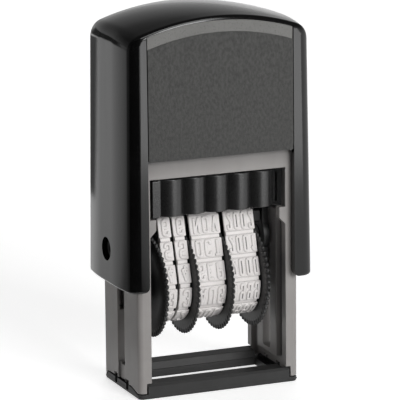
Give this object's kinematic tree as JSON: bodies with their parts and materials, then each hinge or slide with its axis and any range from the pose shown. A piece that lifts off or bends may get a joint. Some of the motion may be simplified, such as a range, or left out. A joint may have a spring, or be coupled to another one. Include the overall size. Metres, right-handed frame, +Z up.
{
  "type": "date stamp",
  "caption": "Self-inking date stamp: arched black push cap over a grey frame, with turning date bands, a pull-out ink pad and a return spring.",
  "frame": {"origin": "centre of the base ring's underside, on the table", "axes": "+Z up along the press stroke, -Y towards the front with the date window, +X to the right seen from the front"},
  "size_m": [0.041, 0.0244, 0.08],
  "materials": {
    "gloss_black": "polished moulded plastic",
    "label_grey": "fine spark-eroded grain",
    "frame_grey": "satin moulded plastic",
    "satin_black": "satin moulded plastic",
    "carriage_black": "satin moulded plastic",
    "wheel_black": "matt moulded plastic",
    "band_rubber": "smooth pale rubber",
    "inked_felt": "ink-soaked felt",
    "spring_steel": "bright wire"
  },
  "bodies": {
    "frame": {"lower_frame": "frame_grey", "base_ring": "satin_black", "return_spring": "spring_steel"},
    "cap": {"cap_shell": "gloss_black", "front_label_panel": "label_grey", "rear_label_panel": "label_grey"},
    "carriage": {"left_cheek": "carriage_black", "right_cheek": "carriage_black", "print_platen": "carriage_black", "wheel_shaft": "spring_steel", "shaft_spacer": "carriage_black", "left_axle_pin": "frame_grey", "right_axle_pin": "frame_grey", "day_tens_band": "band_rubber", "day_units_band": "band_rubber", "month_band": "band_rubber", "year_band": "band_rubber"},
    "day_tens_dial": {"day_tens_wheel": "wheel_black"},
    "day_units_dial": {"day_units_wheel": "wheel_black"},
    "month_dial": {"month_wheel": "wheel_black"},
    "year_dial": {"year_wheel": "wheel_black"},
    "ink_pad": {"ink_pad_tray": "satin_black", "ink_pad_felt": "inked_felt"}
  },
  "joints": [
    {"name": "cap_press", "type": "slide", "parent": "frame", "child": "cap", "axis": [0, 0, 1], "range_m": [-0.0225, 0], "stiffness_N_per_m": 300, "springref_m": 0.015, "deforming": ["return_spring"]},
    {"name": "carriage_flip", "type": "hinge", "parent": "cap", "child": "carriage", "pos_m": [0, 0, 0.0302], "axis": [1, 0, 0], "range_deg": [-180, 0]},
    {"name": "day_tens_turn", "type": "hinge", "parent": "carriage", "child": "day_tens_dial", "pos_m": [-0.0098, 0, 0.0216], "axis": [1, 0, 0], "continuous": true},
    {"name": "day_units_turn", "type": "hinge", "parent": "carriage", "child": "day_units_dial", "pos_m": [-0.0065, 0, 0.0216], "axis": [1, 0, 0], "continuous": true},
    {"name": "month_turn", "type": "hinge", "parent": "carriage", "child": "month_dial", "pos_m": [-0.0008, 0, 0.0216], "axis": [1, 0, 0], "continuous": true},
    {"name": "year_turn", "type": "hinge", "parent": "carriage", "child": "year_dial", "pos_m": [0.0069, 0, 0.0216], "axis": [1, 0, 0], "continuous": true},
    {"name": "ink_pad_slide", "type": "slide", "parent": "frame", "child": "ink_pad", "axis": [0, -1, 0], "range_m": [0, 0.0175]}
  ],
  "couplings": [
    {"joint": "carriage_flip", "follows": "cap_press", "rad_per_m": 139.63}
  ]
}
